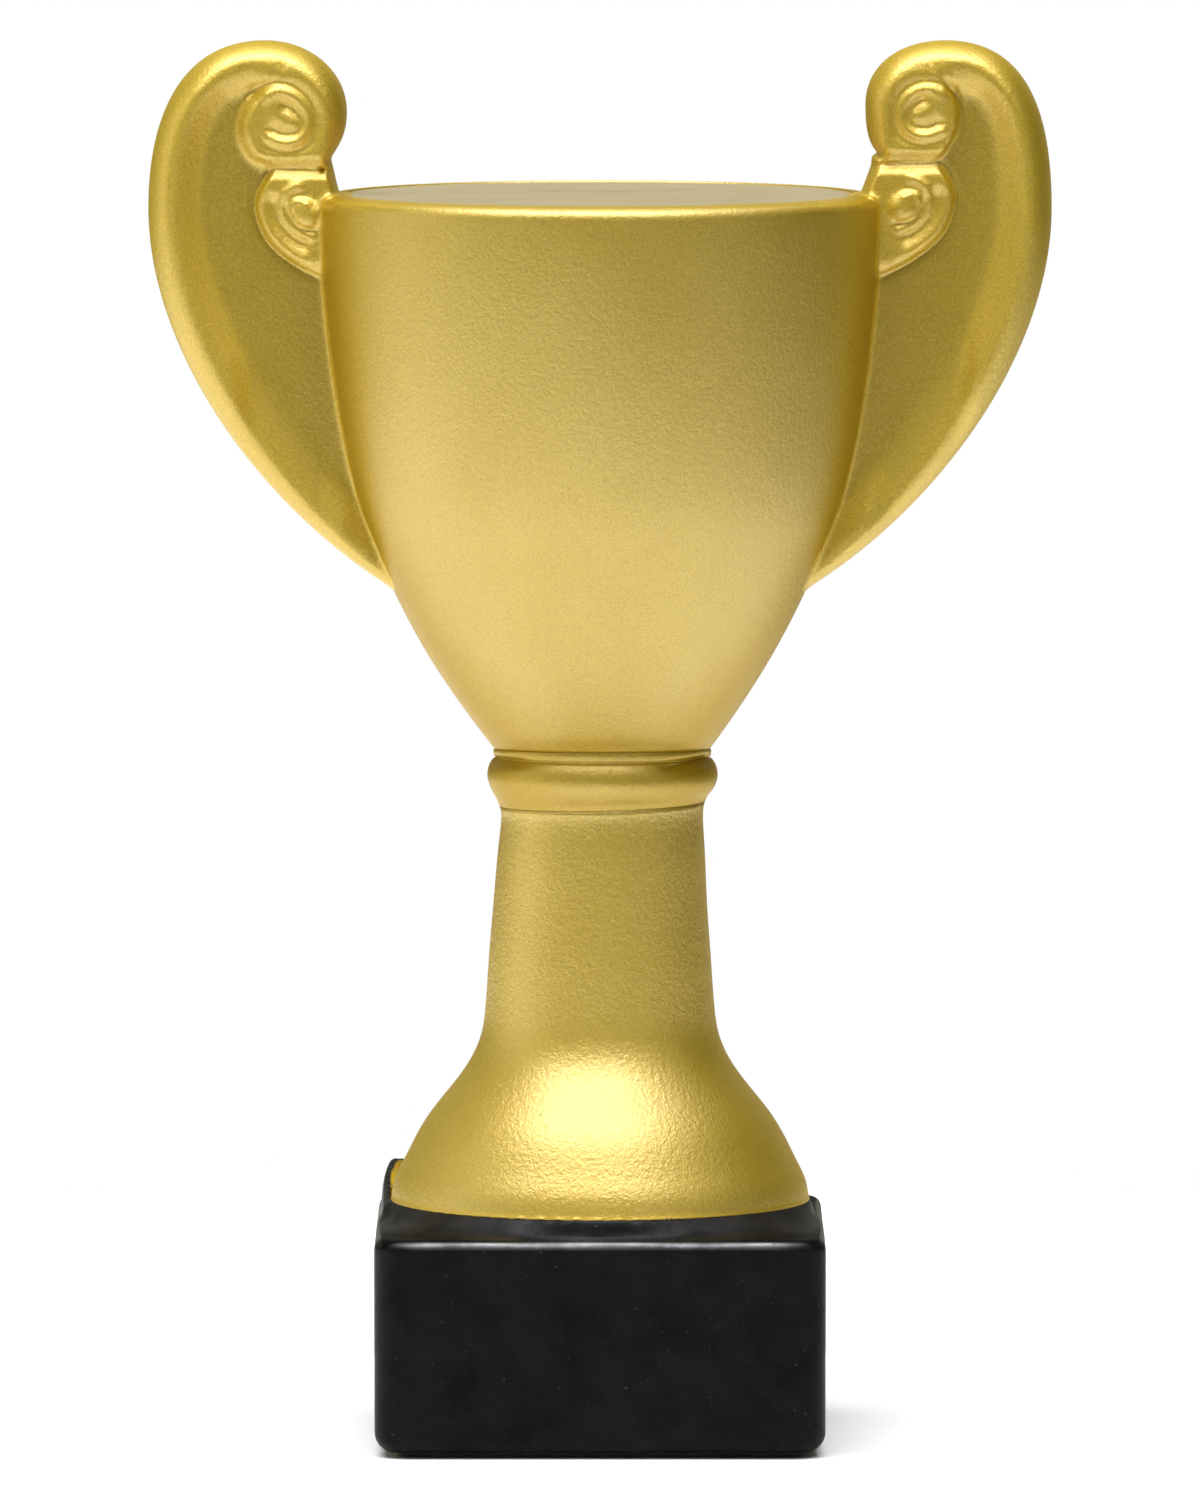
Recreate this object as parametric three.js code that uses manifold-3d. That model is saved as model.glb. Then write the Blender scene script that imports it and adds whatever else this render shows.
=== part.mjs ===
// Two-handled award cup on a bell-footed pedestal and a square black plinth, drawn together by a tie rod.
// Millimetres, +Z up, the front faces -Y, +X is the viewer's right.
// The origin is the centre of the underside, on the surface that the cup stands on.

import * as THREE from 'three';
import { mergeVertices } from 'three/addons/utils/BufferGeometryUtils.js';
import Module from 'manifold-3d';

const wasm = await Module();
wasm.setup();

// ---------------------------------------------------------------- driving dimensions

const HEIGHT = 120; // top of the handles
const HALF_SPAN = 38.7; // centre line to the widest point of a handle
const MOUTH_Z = 106.9; // flat top of the cup
const CUP_RADIUS = 24.15; // widest radius, just under the rim
const CUP_Z = 59.2; // underside of the cup
const RING_Z = 54.1; // underside of the collar ring
const SEAT_Z = 20.5; // bottom edge of the pedestal, on the plinth's raised seat
const SEAT_RADIUS = 18;
const PLINTH_WIDTH = 38.5; // square
const PLINTH_TOP_Z = 18.8;
const PLINTH_BOTTOM_Z = 0.4; // the felt pad stands this much proud of the plinth
const FELT_THICKNESS = 1;

const WALL = 2; // moulded shells
const CUT_GAP = 0.3; // clearance where one piece is shaped to its neighbour
const ROD_RADIUS = 2.4; // M5 rod, over its threads
const ROD_HOLE = 2.8;
const ROUND = 32; // facets round a large turned piece
const SMALL_ROUND = 16; // facets round a small one

// ---------------------------------------------------------------- finishes

const finish = (color, roughness, metalness) => new THREE.MeshStandardMaterial({ color, roughness, metalness });

const GOLD = finish(0xc2a649, 0.42, 0.75);
const GOLD_WEB = finish(0x9c8634, 0.6, 0.6);
const DISC_GOLD = finish(0xc8b98c, 0.5, 0.6);
const BLACK = finish(0x1c1c1d, 0.42, 0);
const STEEL = finish(0x9a9c9f, 0.35, 1);
const PLASTER = finish(0xcfcac0, 0.9, 0);
const BOARD = finish(0x8a6f4d, 0.85, 0);
const FELT = finish(0x22392b, 0.95, 0);

// ---------------------------------------------------------------- solids

const point = (x, y) => new THREE.Vector2(x, y);

// Signed volume, which is negative when the faces point inwards.
function volume(geometry) {
  const p = geometry.attributes.position;
  const index = geometry.index.array;
  const a = new THREE.Vector3();
  const b = new THREE.Vector3();
  const c = new THREE.Vector3();
  let sum = 0;
  for (let i = 0; i < index.length; i += 3) {
    a.fromBufferAttribute(p, index[i]);
    b.fromBufferAttribute(p, index[i + 1]);
    c.fromBufferAttribute(p, index[i + 2]);
    sum += a.dot(b.cross(c)) / 6;
  }
  return sum;
}

function solid(geometry) {
  const bare = geometry.clone();
  bare.deleteAttribute('normal');
  bare.deleteAttribute('uv');
  const merged = mergeVertices(bare, 1e-4);
  const triVerts = new Uint32Array(merged.index.array);
  if (volume(merged) < 0) triVerts.reverse();
  const vertProperties = new Float32Array(merged.attributes.position.array);
  return new wasm.Manifold(new wasm.Mesh({ numProp: 3, vertProperties, triVerts }));
}

function geometryOf(body) {
  const mesh = body.getMesh();
  const geometry = new THREE.BufferGeometry();
  geometry.setAttribute('position', new THREE.BufferAttribute(mesh.vertProperties, 3));
  geometry.setIndex(new THREE.BufferAttribute(mesh.triVerts, 1));
  geometry.computeVertexNormals();
  return geometry;
}

// A closed outline of (radius, height) points, turned about the Z axis.
function turned(outline, facets = ROUND) {
  const closed = [...outline, outline[0].clone()];
  const geometry = new THREE.LatheGeometry(closed, facets);
  return solid(geometry.rotateX(Math.PI / 2));
}

// A shape drawn in (x, z), given a thickness along Y and centred on the XZ plane.
function slab(shape, thickness, bevel = 0) {
  const geometry = new THREE.ExtrudeGeometry(shape, {
    depth: thickness - 2 * bevel,
    bevelEnabled: bevel > 0,
    bevelThickness: bevel,
    bevelSize: bevel * 0.7,
    bevelOffset: -bevel * 0.7,
    bevelSegments: 2,
    curveSegments: 10,
  });
  return solid(geometry.rotateX(Math.PI / 2).translate(0, thickness / 2 - bevel, 0));
}

// A rod of the given radius along an axis, from one end to the other.
function rodBetween(start, end, radius, facets = SMALL_ROUND) {
  const line = new THREE.Vector3().subVectors(end, start);
  const geometry = new THREE.CylinderGeometry(radius, radius, line.length(), facets);
  const turn = new THREE.Quaternion().setFromUnitVectors(new THREE.Vector3(0, 1, 0), line.normalize());
  const middle = new THREE.Vector3().addVectors(start, end).multiplyScalar(0.5);
  return solid(geometry.applyQuaternion(turn).translate(middle.x, middle.y, middle.z));
}

const upright = (low, high, radius, facets = SMALL_ROUND) =>
  rodBetween(new THREE.Vector3(0, 0, low), new THREE.Vector3(0, 0, high), radius, facets);

// A square with rounded corners, from one height to another, with rounded top and bottom edges.
function roundedBlock(width, low, high, corner, edge = 0) {
  const half = width / 2;
  const shape = new THREE.Shape();
  shape.moveTo(half, corner - half);
  shape.absarc(half - corner, half - corner, corner, 0, Math.PI / 2);
  shape.absarc(corner - half, half - corner, corner, Math.PI / 2, Math.PI);
  shape.absarc(corner - half, corner - half, corner, Math.PI, 1.5 * Math.PI);
  shape.absarc(half - corner, corner - half, corner, 1.5 * Math.PI, 2 * Math.PI);
  const geometry = new THREE.ExtrudeGeometry(shape, {
    depth: high - low - 2 * edge,
    bevelEnabled: edge > 0,
    bevelThickness: edge,
    bevelSize: edge,
    bevelOffset: -edge,
    bevelSegments: 3,
    curveSegments: 5,
  });
  return solid(geometry.translate(0, 0, low + edge));
}

// The outline moved sideways by a distance: positive is away from the axis on an upward run.
function offset(outline, distance) {
  return outline.map((p, i) => {
    const before = outline[Math.max(i - 1, 0)];
    const after = outline[Math.min(i + 1, outline.length - 1)];
    const along = after.clone().sub(before).normalize();
    return point(p.x + along.y * distance, p.y - along.x * distance);
  });
}

const between = (outline, low, high) => outline.filter((p) => p.y > low && p.y < high);

function node(name, body, material) {
  const mesh = new THREE.Mesh(body instanceof THREE.BufferGeometry ? body : geometryOf(body), material);
  mesh.name = name;
  return mesh;
}

// ---------------------------------------------------------------- outlines of the turned body

// Outer side of the cup, from the underside up to the rim.
function cupSide(divisions = 7) {
  const lower = new THREE.CubicBezierCurve(point(9.3, CUP_Z), point(13.9, 65.3), point(16.7, 69.7), point(20.1, 78.5));
  const upper = new THREE.CubicBezierCurve(
    point(20.1, 78.5),
    point(22.5, 84.5),
    point(CUP_RADIUS, 97.9),
    point(CUP_RADIUS, MOUTH_Z - 1),
  );
  return [...lower.getPoints(divisions), ...upper.getPoints(divisions).slice(1)];
}

// The rounded rim, from the top of the side in to the edge of the flat mouth.
function rimRound() {
  const rim = new THREE.QuadraticBezierCurve(point(CUP_RADIUS, MOUTH_Z - 1), point(24, 106.8), point(22.3, MOUTH_Z));
  return rim.getPoints(4).slice(1);
}

// Outer side of the pedestal: the bell foot, then the slightly waisted stem.
function pedestalSide(divisions = 8) {
  const bell = new THREE.CubicBezierCurve(
    point(SEAT_RADIUS, SEAT_Z),
    point(17.4, 26.4),
    point(10.5, 31),
    point(10.05, 35.7),
  );
  const stem = new THREE.QuadraticBezierCurve(point(10.05, 35.7), point(9.7, 39), point(8.75, 53.4));
  return [...bell.getPoints(divisions), ...stem.getPoints(4).slice(1), point(8.75, RING_Z)];
}

// ---------------------------------------------------------------- plinth and what it holds

const PLATE_WIDTH = 35;
const PLATE_LOW = 1;
const PLATE_TOP = 2.5;
const CAVITY_WIDTH = 33.6;
const CAVITY_TOP = 16.3;
const NUT_POCKET_TOP = 8.6;
const NUT_HEIGHT = 4;
const WASHER_THICKNESS = 1;

// A low fold of the moulding that stands up at the rear left corner of the plinth's top.
function cornerLip() {
  const fold = new THREE.SphereGeometry(1, 16, 10).scale(4.2, 2.2, 2.8);
  const corner = PLINTH_WIDTH / 2 - 3.5;
  return solid(fold.rotateZ(Math.PI / 4).translate(-corner, corner, PLINTH_TOP_Z - 0.1));
}

function plinth() {
  const cove = new THREE.QuadraticBezierCurve(point(19, PLINTH_TOP_Z), point(18.1, 19), point(SEAT_RADIUS, SEAT_Z));
  const seat = turned([point(0, 17.5), point(19, 17.5), ...cove.getPoints(5), point(0, SEAT_Z)]);
  const locatingBoss = upright(SEAT_Z - 1, SEAT_Z + 1.5, 15.2, ROUND);
  return roundedBlock(PLINTH_WIDTH, PLINTH_BOTTOM_Z, PLINTH_TOP_Z, 2.8, 1.5)
    .add(seat)
    .add(locatingBoss)
    .add(cornerLip())
    .subtract(roundedBlock(PLATE_WIDTH + 0.4, -1, PLATE_TOP, 1.7))
    .subtract(roundedBlock(CAVITY_WIDTH + 0.6, 1, CAVITY_TOP, 1.5))
    .subtract(upright(CAVITY_TOP - 1, SEAT_Z + 3, ROD_HOLE));
}

function ballastBlock() {
  return roundedBlock(CAVITY_WIDTH, PLATE_TOP + 0.3, CAVITY_TOP, 1.2)
    .subtract(upright(0, NUT_POCKET_TOP, 7))
    .subtract(upright(NUT_POCKET_TOP - 1, CAVITY_TOP + 1, ROD_HOLE));
}

const basePlate = () => roundedBlock(PLATE_WIDTH, PLATE_LOW, PLATE_TOP, 1.5);
const feltPad = () => roundedBlock(PLATE_WIDTH - 0.4, 0, FELT_THICKNESS, 1.3);

// ---------------------------------------------------------------- pedestal and collar ring

const SPIGOT_RADIUS = 5.7;
const SPIGOT_TOP = 57;

function pedestal() {
  const side = pedestalSide();
  const ceiling = RING_Z - 3;
  const inside = between(offset(side, -WALL), SEAT_Z + 0.5, ceiling).reverse();
  const shell = [
    ...side,
    point(SPIGOT_RADIUS, RING_Z),
    point(SPIGOT_RADIUS, SPIGOT_TOP),
    point(ROD_HOLE, SPIGOT_TOP),
    point(ROD_HOLE, ceiling),
    point(8.75 - WALL, ceiling),
    ...inside,
    point(SEAT_RADIUS - WALL, SEAT_Z),
  ];
  return turned(shell);
}

// The bead between the pedestal and the cup, with a small cushion above and below it.
function collarRing() {
  const bead = new THREE.Path();
  bead.moveTo(8.75, RING_Z);
  bead.quadraticCurveTo(9.05, 54.6, 9.3, 55.1);
  bead.bezierCurveTo(10.2, 55.6, 10.2, 58.1, 9.6, 58.4);
  bead.lineTo(9.3, CUP_Z);
  const bore = SPIGOT_RADIUS + CUT_GAP;
  return turned([...bead.getPoints(5), point(bore, CUP_Z), point(bore, RING_Z)]);
}

// ---------------------------------------------------------------- cup and mouth disc

const CUP_FLOOR_TOP = CUP_Z + 3.3;
const DISC_THICKNESS = 2;
const DISC_RADIUS = 21.7;
const LEDGE_WIDTH = 1.5;

// Handle screws: height of each, and the flat seat cut for its head inside the cup.
const SCREW_HEIGHTS = { upper: 99, lower: 88 };
const SCREW_SHANK = 1.2;
const SCREW_HOLE = 1.5;
const SCREW_HEAD = 2.3;
const SCREW_HEAD_HEIGHT = 1.5;

const cupRadiusAt = (z) => {
  const side = cupSide(40);
  return side.reduce((best, p) => (Math.abs(p.y - z) < Math.abs(best.y - z) ? p : best)).x;
};
const screwSeat = (z) => cupRadiusAt(z) - WALL + 0.5;

function cupBowl() {
  const side = cupSide();
  const discSeat = MOUTH_Z - DISC_THICKNESS;
  const rebate = DISC_RADIUS + CUT_GAP;
  const inside = between(offset(side, -WALL), CUP_FLOOR_TOP + 0.5, discSeat - 4).reverse();
  const floorRadius = inside[inside.length - 1].x - 0.3;
  const boss = SPIGOT_RADIUS;
  const shell = [
    ...side,
    ...rimRound(),
    point(rebate, MOUTH_Z),
    point(rebate, discSeat),
    point(rebate - LEDGE_WIDTH, discSeat),
    point(rebate - LEDGE_WIDTH, discSeat - 1.2),
    point(CUP_RADIUS - WALL, discSeat - 3),
    ...inside,
    point(floorRadius, CUP_FLOOR_TOP),
    point(ROD_HOLE, CUP_FLOOR_TOP),
    point(ROD_HOLE, CUP_Z - 1.5),
    point(boss, CUP_Z - 1.5),
    point(boss, CUP_Z),
  ];
  let bowl = turned(shell);
  for (const direction of [-1, 1]) {
    for (const z of Object.values(SCREW_HEIGHTS)) {
      const seat = screwSeat(z);
      const at = (x) => new THREE.Vector3(direction * x, 0, z);
      bowl = bowl
        .subtract(rodBetween(at(seat - 6), at(seat), SCREW_HEAD + 0.3))
        .subtract(rodBetween(at(seat - 1), at(CUP_RADIUS + 3), SCREW_HOLE));
    }
  }
  return bowl;
}

const mouthDisc = () => upright(MOUTH_Z - DISC_THICKNESS, MOUTH_Z, DISC_RADIUS, ROUND);

// ---------------------------------------------------------------- handles

const HANDLE_THICKNESS = 9; // over the rolled rim and the volute
const WEB_THICKNESS = 5.5;
const LEAF_THICKNESS = 8;
const WIDEST_Z = 105.6;
const EYE = point(27, 112.9); // centre of the volute's spiral
const SPIRAL_SHRINK = 0.69; // what the spiral's radius falls to in a quarter turn

// A shape drawn for the right-hand handle, mirrored for the left-hand one.
function sided(path, side) {
  return new THREE.Shape(path.getPoints(8).map((p) => point(side * p.x, p.y)));
}

// The outer edge, from the tip on the cup up to the volute.
function outerEdge() {
  const edge = new THREE.Path();
  edge.moveTo(17.3, 72.7);
  edge.bezierCurveTo(29.2, 79.8, HALF_SPAN, 93.4, HALF_SPAN, WIDEST_Z);
  edge.bezierCurveTo(HALF_SPAN, 113.4, 35.9, HEIGHT, 28.6, HEIGHT);
  edge.absarc(28.6, 113.6, HEIGHT - 113.6, Math.PI / 2, Math.PI);
  return edge;
}

// Rolled rim and volute in one: over the crown, round the volute, and back down the inside of the roll.
function scrollShape(side) {
  const edge = outerEdge();
  edge.bezierCurveTo(22.2, 111.2, 24.4, 109.4, 27.2, 109.4);
  edge.bezierCurveTo(28.9, 109.4, 30.4, 110.6, 31, 112.2);
  edge.quadraticCurveTo(30.2, 114.2, 30.4, 115.5);
  edge.bezierCurveTo(32.6, 113.9, 34.4, 109.6, 34.4, 105);
  edge.bezierCurveTo(34.4, 96, 28.5, 82.6, 16, 74.6);
  return sided(edge, side);
}

// The flat panel between the roll and the cup, reaching up to the neck under the volute.
function webShape(side) {
  const edge = new THREE.Path();
  edge.moveTo(17.3, 73.4);
  edge.bezierCurveTo(29, 80.4, HALF_SPAN - 1, 94, HALF_SPAN - 1, WIDEST_Z);
  edge.bezierCurveTo(HALF_SPAN - 1, 112.8, 35.4, HEIGHT - 1, 28.6, HEIGHT - 1);
  edge.lineTo(24, 112);
  edge.lineTo(23, 109.6);
  edge.lineTo(22.5, 107.2);
  edge.lineTo(16, 100);
  return sided(edge, side);
}

// The smaller leaf scroll under the volute, which runs out on the cup's side.
function leafShape(side) {
  const edge = new THREE.Path();
  edge.moveTo(22.9, 108.9);
  edge.lineTo(27.4, 108.9);
  edge.bezierCurveTo(28.6, 108.6, 29.3, 107.2, 29.3, 105.9);
  edge.bezierCurveTo(29.3, 104.2, 28.4, 102.8, 26.6, 101.7);
  edge.lineTo(21, 97.5);
  edge.lineTo(21, 106.5);
  return sided(edge, side);
}

// A groove that follows the volute's spiral inwards for one turn, on one face.
function spiralGroove(side, face) {
  const steps = 18;
  const points = [];
  for (let step = 0; step <= steps; step += 1) {
    const quarter = (4 * step) / steps;
    const radius = 3.4 * SPIRAL_SHRINK ** (quarter / 2.4);
    const angle = (Math.PI / 2) * (quarter + 0.6);
    const x = EYE.x + radius * Math.cos(angle);
    points.push(new THREE.Vector3(side * x, (face * HANDLE_THICKNESS) / 2, EYE.y + radius * Math.sin(angle)));
  }
  const section = new THREE.Shape().absarc(0, 0, 0.4, 0, 2 * Math.PI);
  return solid(
    new THREE.ExtrudeGeometry(section, {
      extrudePath: new THREE.CatmullRomCurve3(points),
      steps,
      curveSegments: 3,
    }),
  );
}

function knob(side, face, x, z, reach, radius) {
  return solid(new THREE.SphereGeometry(radius, 10, 6).translate(side * x, face * (reach / 2 - 0.7), z));
}

// The cup's outer surface with the fitting gap added, as a solid to cut the handle with.
function cupEnvelope() {
  const side = offset([...cupSide(), ...rimRound()], CUT_GAP);
  return turned([point(0, CUP_Z), ...side, point(0, MOUTH_Z + CUT_GAP)]);
}

function handle(side) {
  let body = slab(scrollShape(side), HANDLE_THICKNESS, 0.9)
    .add(slab(webShape(side), WEB_THICKNESS))
    .add(slab(leafShape(side), LEAF_THICKNESS, 0.9));
  for (const face of [-1, 1]) {
    body = body
      .subtract(spiralGroove(side, face))
      .add(knob(side, face, EYE.x, EYE.y, HANDLE_THICKNESS, 1.2))
      .add(knob(side, face, 25.4, 105.8, LEAF_THICKNESS, 1.1));
  }
  body = body.subtract(cupEnvelope());
  for (const z of Object.values(SCREW_HEIGHTS)) {
    const at = (x) => new THREE.Vector3(side * x, 0, z);
    body = body.subtract(rodBetween(at(CUP_RADIUS - 4), at(screwSeat(z) + 8.4), SCREW_SHANK + 0.15, 16));
  }
  return body;
}

// ---------------------------------------------------------------- fasteners

function nut(low) {
  const hexagon = solid(new THREE.CylinderGeometry(4.6, 4.6, NUT_HEIGHT, 6).rotateX(Math.PI / 2))
    .translate([0, 0, low + NUT_HEIGHT / 2]);
  const chamfer = turned(
    [
      point(0, low),
      point(4.1, low),
      point(4.7, low + 0.5),
      point(4.7, low + NUT_HEIGHT - 0.5),
      point(4.1, low + NUT_HEIGHT),
      point(0, low + NUT_HEIGHT),
    ],
    24,
  );
  return hexagon.intersect(chamfer).subtract(upright(low - 1, low + NUT_HEIGHT + 1, ROD_RADIUS + 0.1, 24));
}

const washer = (low) =>
  upright(low, low + WASHER_THICKNESS, 5, 24).subtract(upright(low - 1, low + WASHER_THICKNESS + 1, 2.65, 24));

function tieRod() {
  const low = 3.1;
  const high = CUP_FLOOR_TOP + WASHER_THICKNESS + NUT_HEIGHT + 1.5;
  const tip = ROD_RADIUS - 0.5;
  return turned(
    [
      point(0, low),
      point(tip, low),
      point(ROD_RADIUS, low + 0.5),
      point(ROD_RADIUS, high - 0.5),
      point(tip, high),
      point(0, high),
    ],
    24,
  );
}

// A pan-head screw with a cross recess, driven outwards through the cup's wall into the handle.
function handleScrew(side, z) {
  const profile = [
    point(0, -SCREW_HEAD_HEIGHT),
    point(1.4, -SCREW_HEAD_HEIGHT + 0.1),
    point(2.1, -SCREW_HEAD_HEIGHT + 0.6),
    point(SCREW_HEAD, 0),
    point(SCREW_SHANK, 0),
    point(SCREW_SHANK, 6.6),
    point(0.2, 7.8),
    point(0, 7.8),
  ];
  const slot = (x, y) => solid(new THREE.BoxGeometry(x, y, 1).translate(0, 0, -SCREW_HEAD_HEIGHT));
  const screw = turned(profile, 16).subtract(slot(2.2, 0.5)).subtract(slot(0.5, 2.2));
  const geometry = geometryOf(screw);
  return geometry.rotateY((side * Math.PI) / 2).translate(side * screwSeat(z), 0, z);
}

// ---------------------------------------------------------------- assembly

const trophy = new THREE.Group();
trophy.add(
  node('felt_pad', feltPad(), FELT),
  node('base_plate', basePlate(), BOARD),
  node('plinth', plinth(), BLACK),
  node('ballast_block', ballastBlock(), PLASTER),
  node('pedestal', pedestal(), GOLD),
  node('collar_ring', collarRing(), GOLD),
  node('cup_bowl', cupBowl(), GOLD),
  node('mouth_disc', mouthDisc(), DISC_GOLD),
  node('tie_rod', tieRod(), STEEL),
  node('base_washer', washer(NUT_POCKET_TOP - WASHER_THICKNESS), STEEL),
  node('base_nut', nut(NUT_POCKET_TOP - WASHER_THICKNESS - NUT_HEIGHT), STEEL),
  node('cup_washer', washer(CUP_FLOOR_TOP), STEEL),
  node('cup_nut', nut(CUP_FLOOR_TOP + WASHER_THICKNESS), STEEL),
);
for (const [name, side] of [['left', -1], ['right', 1]]) {
  trophy.add(node(`handle_${name}`, handle(side), GOLD_WEB));
  for (const [height, z] of Object.entries(SCREW_HEIGHTS)) {
    trophy.add(node(`handle_screw_${name}_${height}`, handleScrew(side, z), STEEL));
  }
}

export default trophy;
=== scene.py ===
import math

import bmesh
import bpy
import numpy as np
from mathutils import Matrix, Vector


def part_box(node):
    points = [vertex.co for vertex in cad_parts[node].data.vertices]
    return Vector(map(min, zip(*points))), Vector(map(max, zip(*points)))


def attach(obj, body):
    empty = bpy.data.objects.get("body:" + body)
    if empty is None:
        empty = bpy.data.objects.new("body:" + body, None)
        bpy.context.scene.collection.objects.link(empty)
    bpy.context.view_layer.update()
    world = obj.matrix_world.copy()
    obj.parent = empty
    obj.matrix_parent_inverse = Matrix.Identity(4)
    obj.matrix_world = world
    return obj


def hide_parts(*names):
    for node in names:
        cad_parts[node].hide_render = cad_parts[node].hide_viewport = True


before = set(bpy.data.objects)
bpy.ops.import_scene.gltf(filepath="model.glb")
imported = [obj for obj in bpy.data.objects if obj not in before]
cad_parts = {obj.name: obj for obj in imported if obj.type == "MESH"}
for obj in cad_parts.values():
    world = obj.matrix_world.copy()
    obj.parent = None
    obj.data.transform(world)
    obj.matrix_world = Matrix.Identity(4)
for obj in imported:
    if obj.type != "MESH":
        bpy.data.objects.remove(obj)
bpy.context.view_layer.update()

# Looks of the two-handled award cup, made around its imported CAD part.
# Shapes are worked out in millimetres and turned into metres when a mesh is made.
# The handles and the plinth are drawn as fields, negative inside and positive outside, and meshed
# where they are zero.

MM = 0.001


def box_mm(node):
    """The low and high corners of a CAD node's box, in millimetres."""
    low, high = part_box(node)
    return np.array(low) / MM, np.array(high) / MM


# ---------------------------------------------------------------- sizes, read from the frame

CUP_RADIUS, _, MOUTH_Z = box_mm("cup_bowl")[1]
HALF_SPAN, _, HANDLE_TOP = box_mm("handle_right")[1]
BALLAST_HALF, _, BALLAST_TOP = box_mm("ballast_block")[1]
PLATE_HALF, _, PLATE_TOP = box_mm("base_plate")[1]
(_, _, PLINTH_Z), (PLINTH_HALF, _, BOSS_TOP) = box_mm("plinth")
(_, _, SEAT_Z), (SEAT_RADIUS, _, _) = box_mm("pedestal")
(_, _, RING_Z), (_, _, CUP_Z) = box_mm("collar_ring")
DISC_Z = box_mm("mouth_disc")[0][2]

# ---------------------------------------------------------------- sizes that the boxes don't give

WALL = 2.0              # thickness of the hollow mouldings
ROD_HOLE = 2.8          # radius of the hole round the tie rod
ROD_BOSS = 5.7          # radius of the spigot between the stacked mouldings
DISC_REBATE = 22.0      # radius of the recess that the mouth disc lies in
PLINTH_TOP = 18.8       # the plinth's flat top, round the cove
BOSS_RADIUS = 15.2      # the plinth's boss, inside the foot
GOLD_LAP = 0.16         # how far the gold skin laps below the seat
WEB_HALF = 2.8          # half thickness of a handle's flat web
VOLUTE_HALF = 4.0       # half thickness of its volute
JUNCTION_DROP = 4.1     # from the volute's eye down to the leaf's flat top
BODY_FACETS = 288       # facets round a turned piece

# The crest of the fold that stands behind the foot, on the left.
FOLD_REACH = 18.3       # how far left it is at most
FOLD_MIDDLE = 4         # how far back it is there
FOLD_BEND = 0.018       # how fast it bows inwards from there, per millimetre


# ---------------------------------------------------------------- curves

def bezier(a, b, c, d, steps):
    """Points on a cubic curve from a to d that leaves towards b and comes in from c."""
    t = np.linspace(0, 1, steps + 1)[:, None]
    a, b, c, d = (np.array(p, float) for p in (a, b, c, d))
    return (1 - t) ** 3 * a + 3 * (1 - t) ** 2 * t * b + 3 * (1 - t) * t ** 2 * c + t ** 3 * d


def spline(points, per_span):
    """A smooth curve through a few points: the natural cubic spline by chord length."""
    p = np.array(points, float)
    span = np.linalg.norm(np.diff(p[:, :2], axis=0), axis=1)
    n = len(p)
    system = np.eye(n)
    right = np.zeros_like(p)
    for i in range(1, n - 1):
        system[i, i - 1:i + 2] = span[i - 1], 2 * (span[i - 1] + span[i]), span[i]
        right[i] = 6 * ((p[i + 1] - p[i]) / span[i] - (p[i] - p[i - 1]) / span[i - 1])
    bend = np.linalg.solve(system, right)
    out = [p[:1]]
    for i in range(n - 1):
        t = np.linspace(0, 1, per_span + 1)[1:, None]
        h = span[i]
        cubic = ((1 - t) ** 3 - (1 - t)) * bend[i] + (t ** 3 - t) * bend[i + 1]
        out.append((1 - t) * p[i] + t * p[i + 1] + cubic * h * h / 6)
    return np.vstack(out)


def joined(*runs):
    """One run of points from several, without the points that repeat."""
    points = np.vstack([np.atleast_2d(np.array(r, float)) for r in runs])
    keep = np.r_[True, np.linalg.norm(np.diff(points, axis=0), axis=1) > 1e-6]
    return points[keep]


def run_length(points):
    """Length of the run from its start up to each point."""
    return np.r_[0, np.cumsum(np.linalg.norm(np.diff(points[:, :2], axis=0), axis=1))]


def resampled(points, spacing):
    """The same run with points at an even spacing."""
    along = run_length(points)
    wanted = np.linspace(0, along[-1], max(2, int(round(along[-1] / spacing)) + 1))
    return np.stack([np.interp(wanted, along, points[:, i]) for i in range(points.shape[1])], 1)


def moved_inwards(points, distance):
    """Each point moved to the left of the run by its distance."""
    step = np.gradient(points[:, :2], axis=0)
    step /= np.linalg.norm(step, axis=1)[:, None]
    left = np.stack([-step[:, 1], step[:, 0]], 1)
    return points[:, :2] + left * np.broadcast_to(distance, len(points))[:, None]


# ---------------------------------------------------------------- meshes

def mesh_piece(name, points, faces, node, material):
    """A smooth-shaded piece from points in millimetres, with its body, node, slot and material."""
    mesh = bpy.data.meshes.new(name)
    mesh.from_pydata((np.asarray(points) * MM).tolist(), [], np.asarray(faces).tolist())
    work = bmesh.new()
    work.from_mesh(mesh)
    bmesh.ops.remove_doubles(work, verts=work.verts, dist=1e-7)
    bmesh.ops.recalc_face_normals(work, faces=work.faces)
    for face in work.faces:
        face.smooth = True
    work.to_mesh(mesh)
    work.free()
    mesh.materials.append(material)
    piece = bpy.data.objects.new(name, mesh)
    bpy.context.scene.collection.objects.link(piece)
    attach(piece, "root")
    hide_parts(node)
    return piece


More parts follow.
